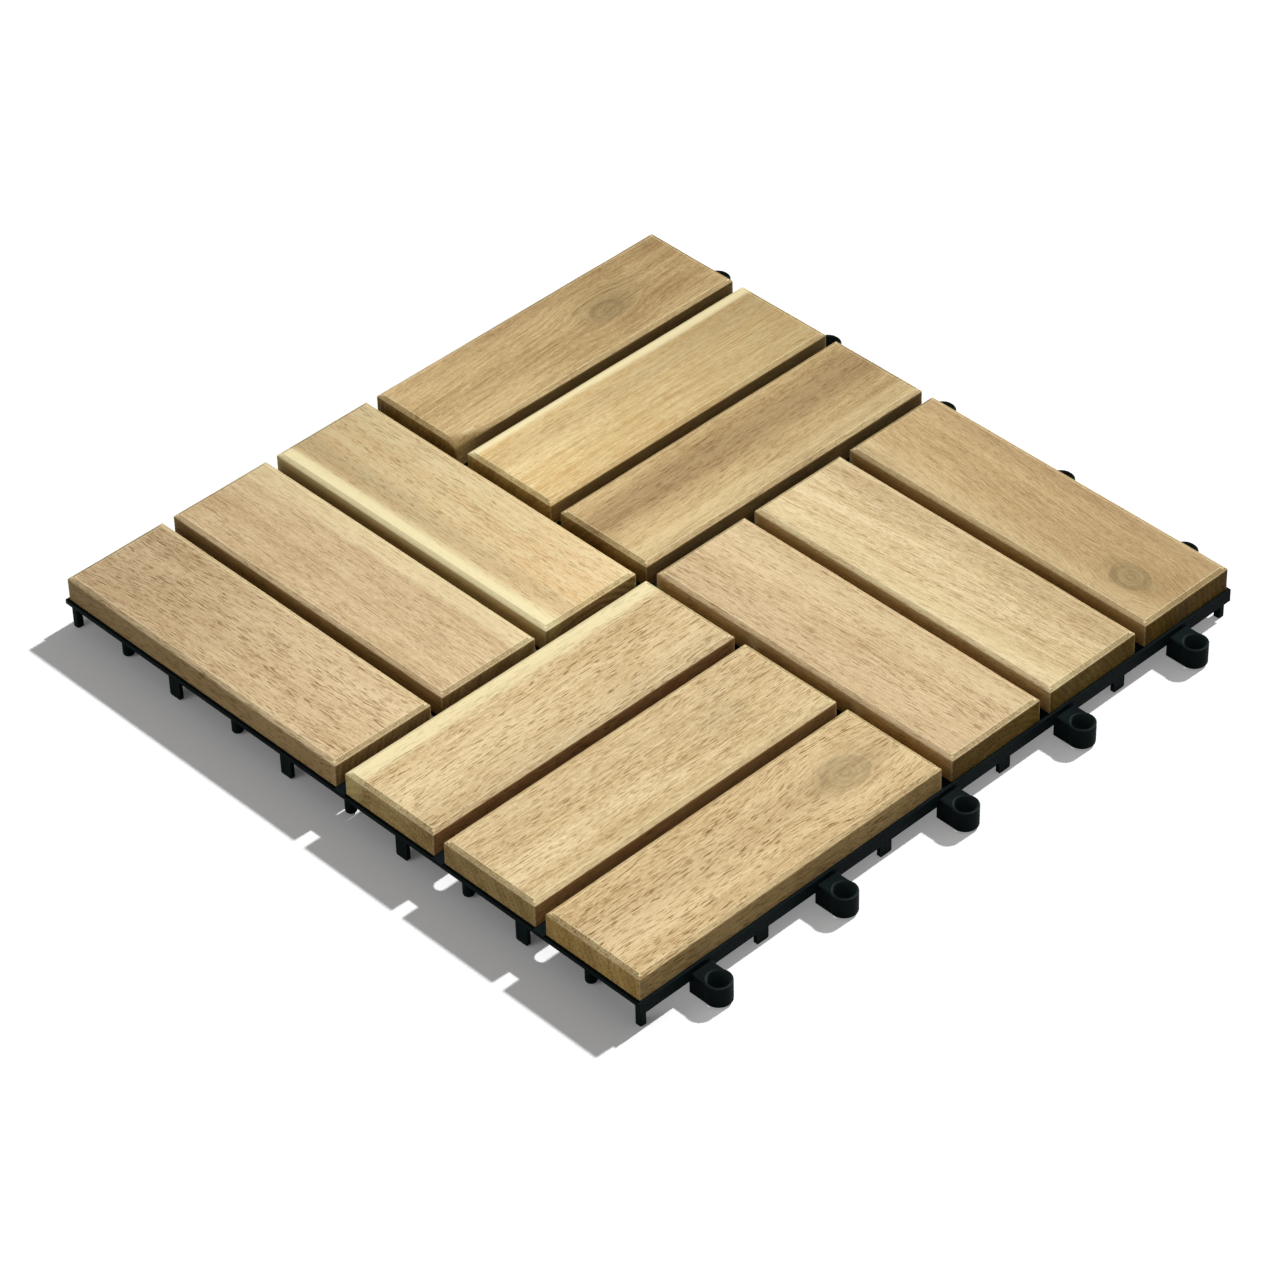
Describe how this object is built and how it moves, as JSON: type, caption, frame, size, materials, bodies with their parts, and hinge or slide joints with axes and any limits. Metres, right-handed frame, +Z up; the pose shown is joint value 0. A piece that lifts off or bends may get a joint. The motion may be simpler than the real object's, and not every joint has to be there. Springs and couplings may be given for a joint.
{
  "type": "interlocking deck tile",
  "caption": "Square outdoor deck tile with short timber slats in a basket weave, screwed to a black plastic base grid with loops on two sides and pegs on the others.",
  "frame": {"origin": "on the ground at the tile's centre, under its middle foot", "axes": "+Z up; +X and +Y towards the two sides with loops; -X and -Y towards the two sides with pegs"},
  "size_m": [0.3099, 0.3099, 0.0225],
  "materials": {
    "base": "fine matt",
    "timber": "oiled",
    "screws": "zinc plated"
  },
  "bodies": {
    "root": {"base_grid": "base", "slat_front_right_inner": "timber", "slat_front_right_middle": "timber", "slat_front_right_outer": "timber", "slat_back_right_inner": "timber", "slat_back_right_middle": "timber", "slat_back_right_outer": "timber", "slat_back_left_inner": "timber", "slat_back_left_middle": "timber", "slat_back_left_outer": "timber", "slat_front_left_inner": "timber", "slat_front_left_middle": "timber", "slat_front_left_outer": "timber", "slat_screws": "screws"}
  },
  "joints": []
}
